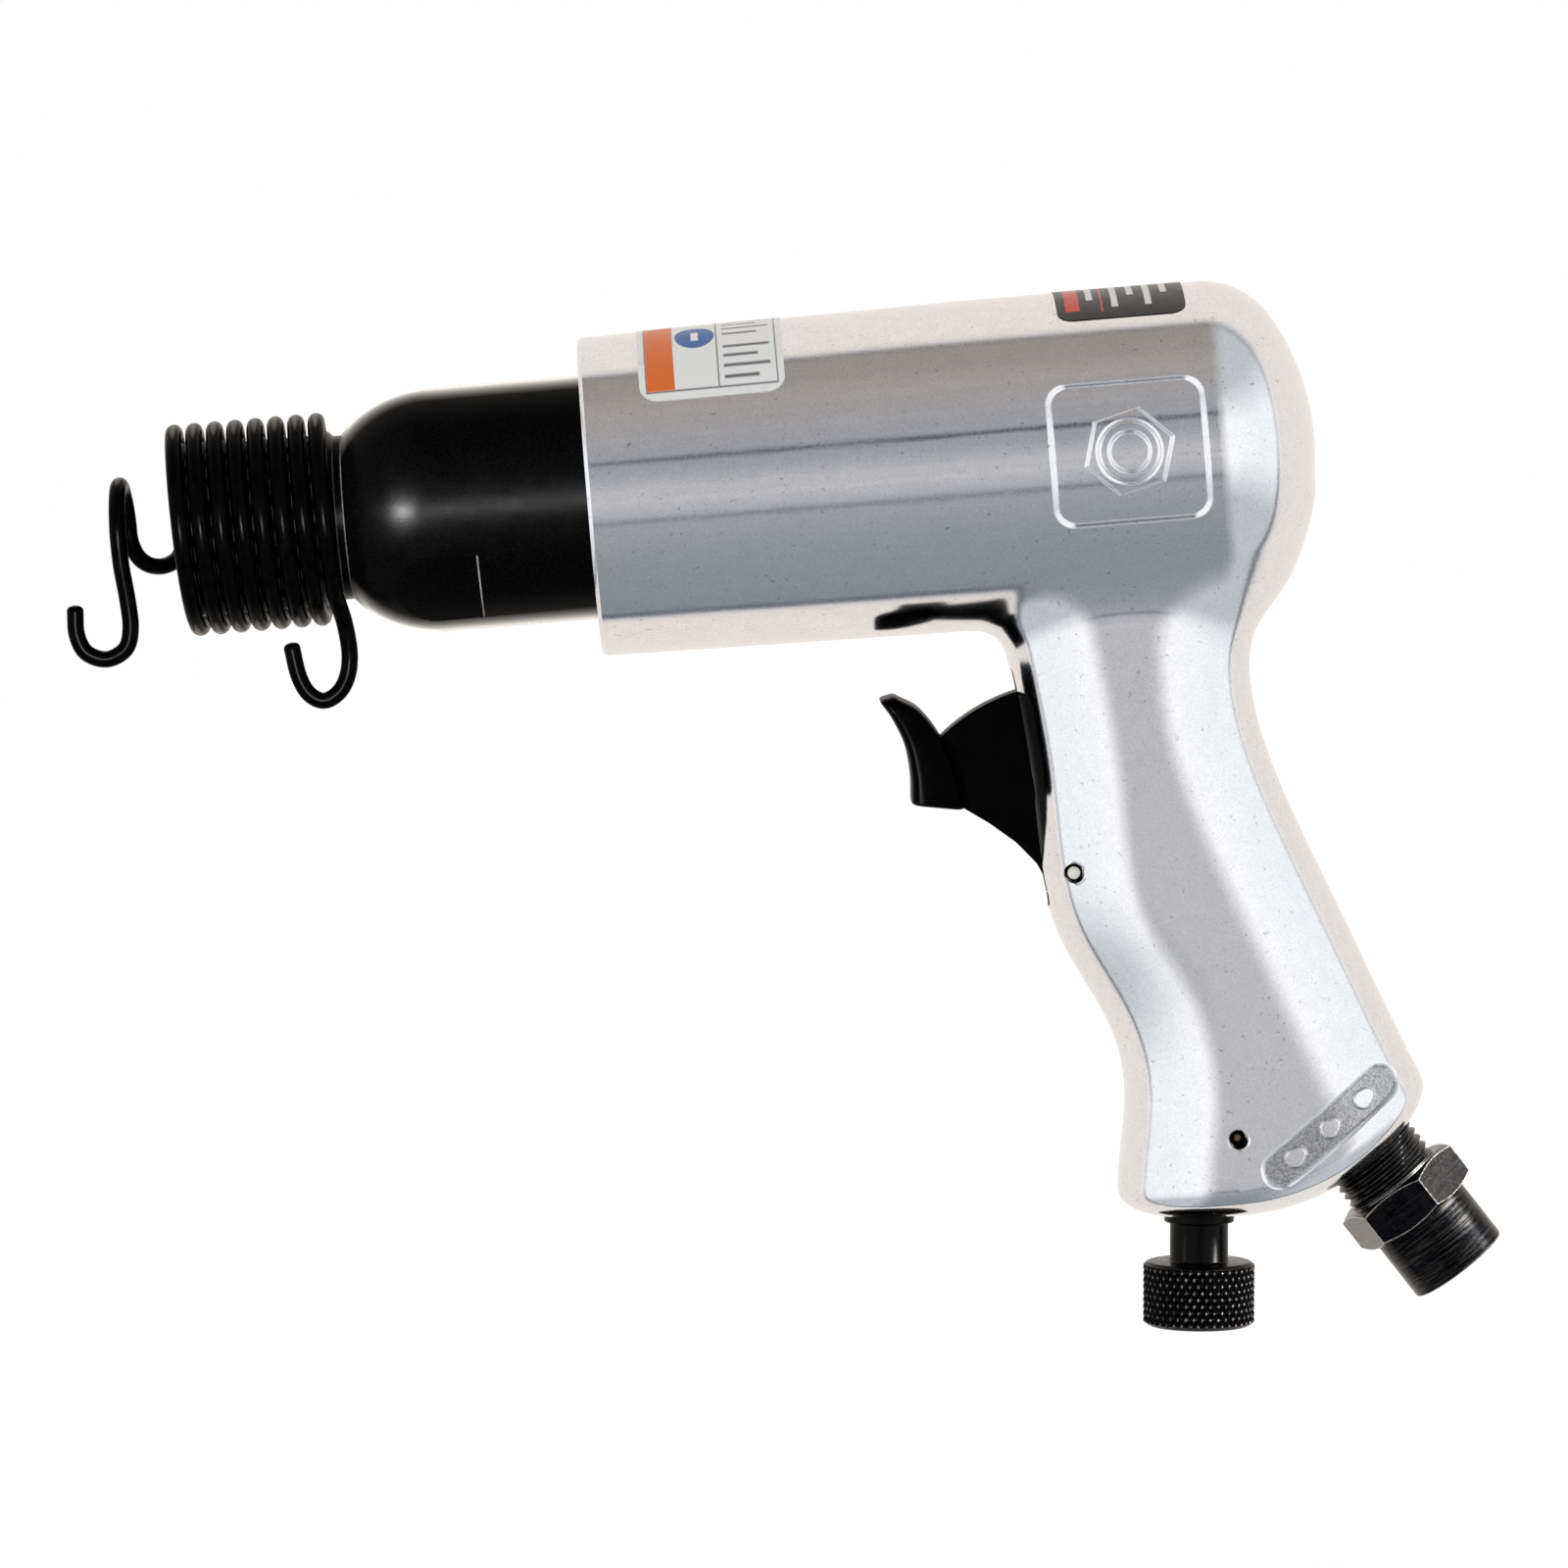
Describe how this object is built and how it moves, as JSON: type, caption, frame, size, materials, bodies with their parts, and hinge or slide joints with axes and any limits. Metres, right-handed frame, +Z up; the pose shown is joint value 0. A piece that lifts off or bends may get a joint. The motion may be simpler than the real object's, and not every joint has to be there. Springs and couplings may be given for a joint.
{
  "type": "pneumatic air hammer",
  "caption": "Pistol-grip pneumatic hammer with a round barrel, coiled wire chisel retainer, pivoting trigger, knurled speed regulator and threaded air inlet.",
  "frame": {"origin": "middle of the grip, where a hand or a holder carries the tool", "axes": "+X along the barrel towards the rear, so the chisel points to -X; +Z up; +Y across the tool"},
  "size_m": [0.2207, 0.0528, 0.1688],
  "materials": {
    "polished_aluminium": "polished casting, broad soft reflections, fine grain",
    "black_steel": "blackened turned steel, satin",
    "seal_rubber": "smooth black rubber",
    "tool_steel": "ground tool steel",
    "bright_steel": "bright drawn steel",
    "spring_wire": "black oxide spring wire, semi-gloss",
    "black_composite": "black moulded composite, satin with a soft sheen",
    "valve_brass": "turned brass",
    "black_steel_knob": "blackened steel, diamond knurl with rubbed crests",
    "worn_steel": "dark plated steel worn bright at the edges",
    "white_label": "printed film sticker, white with orange and blue blocks",
    "black_label": "printed film sticker, black with red and pale bars"
  },
  "bodies": {
    "housing": {"handle_housing": "polished_aluminium", "barrel": "black_steel", "barrel_seal": "seal_rubber", "valve_seat": "tool_steel", "valve_block": "tool_steel", "valve_dowel": "bright_steel", "valve_gasket": "seal_rubber", "trigger_pin": "bright_steel", "plunger_bushing": "valve_brass", "plunger_seal": "seal_rubber", "throttle_seat": "valve_brass", "throttle_spring": "bright_steel", "regulator_pin": "bright_steel", "inlet_bushing": "worn_steel", "inlet_screen": "valve_brass", "safety_label": "white_label", "rating_label": "black_label"},
    "piston": {"piston": "tool_steel"},
    "valve_plate": {"valve_plate": "tool_steel"},
    "trigger": {"trigger": "black_composite"},
    "plunger": {"throttle_plunger": "bright_steel"},
    "throttle_valve": {"throttle_valve": "tool_steel"},
    "regulator": {"regulator": "black_steel_knob", "regulator_seal": "seal_rubber"},
    "retainer": {"retainer_spring": "spring_wire"}
  },
  "joints": [
    {"name": "trigger_pivot", "type": "hinge", "parent": "housing", "child": "trigger", "pos_m": [-0.0181, 0, 0.0005], "axis": [0, 1, 0], "range_deg": [0, 12], "stiffness_Nm_per_rad": 0.4, "springref_deg": -17.19},
    {"name": "plunger_slide", "type": "slide", "parent": "housing", "child": "plunger", "axis": [1, 0, 0], "range_m": [0, 0.0029]},
    {"name": "throttle_valve_slide", "type": "slide", "parent": "housing", "child": "throttle_valve", "axis": [1, 0, 0], "range_m": [0, 0.0029], "deforming": ["throttle_spring"]},
    {"name": "piston_slide", "type": "slide", "parent": "housing", "child": "piston", "axis": [-1, 0, 0], "range_m": [0, 0.066]},
    {"name": "valve_plate_slide", "type": "slide", "parent": "housing", "child": "valve_plate", "axis": [1, 0, 0], "range_m": [-0.0015, 0.001]},
    {"name": "regulator_turn", "type": "hinge", "parent": "housing", "child": "regulator", "pos_m": [-0.0019, 0, -0.0571], "axis": [0.0819, 0, 0.9966], "continuous": true},
    {"name": "retainer_turn", "type": "hinge", "parent": "housing", "child": "retainer", "pos_m": [-0.145, 0, 0.066], "axis": [1, 0, 0], "continuous": true}
  ],
  "couplings": [
    {"joint": "plunger_slide", "follows": "trigger_pivot", "m_per_rad": 0.0135},
    {"joint": "throttle_valve_slide", "follows": "trigger_pivot", "m_per_rad": 0.0135}
  ]
}
